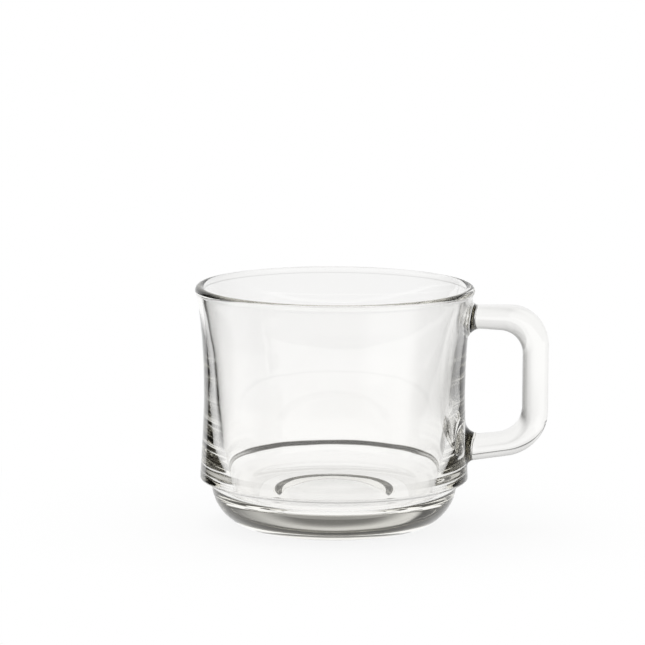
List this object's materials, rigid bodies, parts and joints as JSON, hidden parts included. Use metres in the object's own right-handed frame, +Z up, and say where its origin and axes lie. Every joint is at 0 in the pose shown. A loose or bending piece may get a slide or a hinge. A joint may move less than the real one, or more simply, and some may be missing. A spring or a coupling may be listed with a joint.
{
  "type": "stackable glass cup",
  "caption": "Low clear pressed-glass cup with a rounded lip, a waisted wall, a stepped base that nests in the cup below, and a D-shaped side handle.",
  "frame": {"origin": "on the table, under the centre of the overall box of cup and handle", "axes": "+Z up along the cup's axis, +X from the cup towards its handle, +Y across the handle"},
  "size_m": [0.11, 0.087, 0.0755],
  "materials": {
    "clear_glass": "clear, smooth, fire-polished gloss"
  },
  "bodies": {
    "root": {"cup_body": "clear_glass", "handle": "clear_glass"}
  },
  "joints": []
}
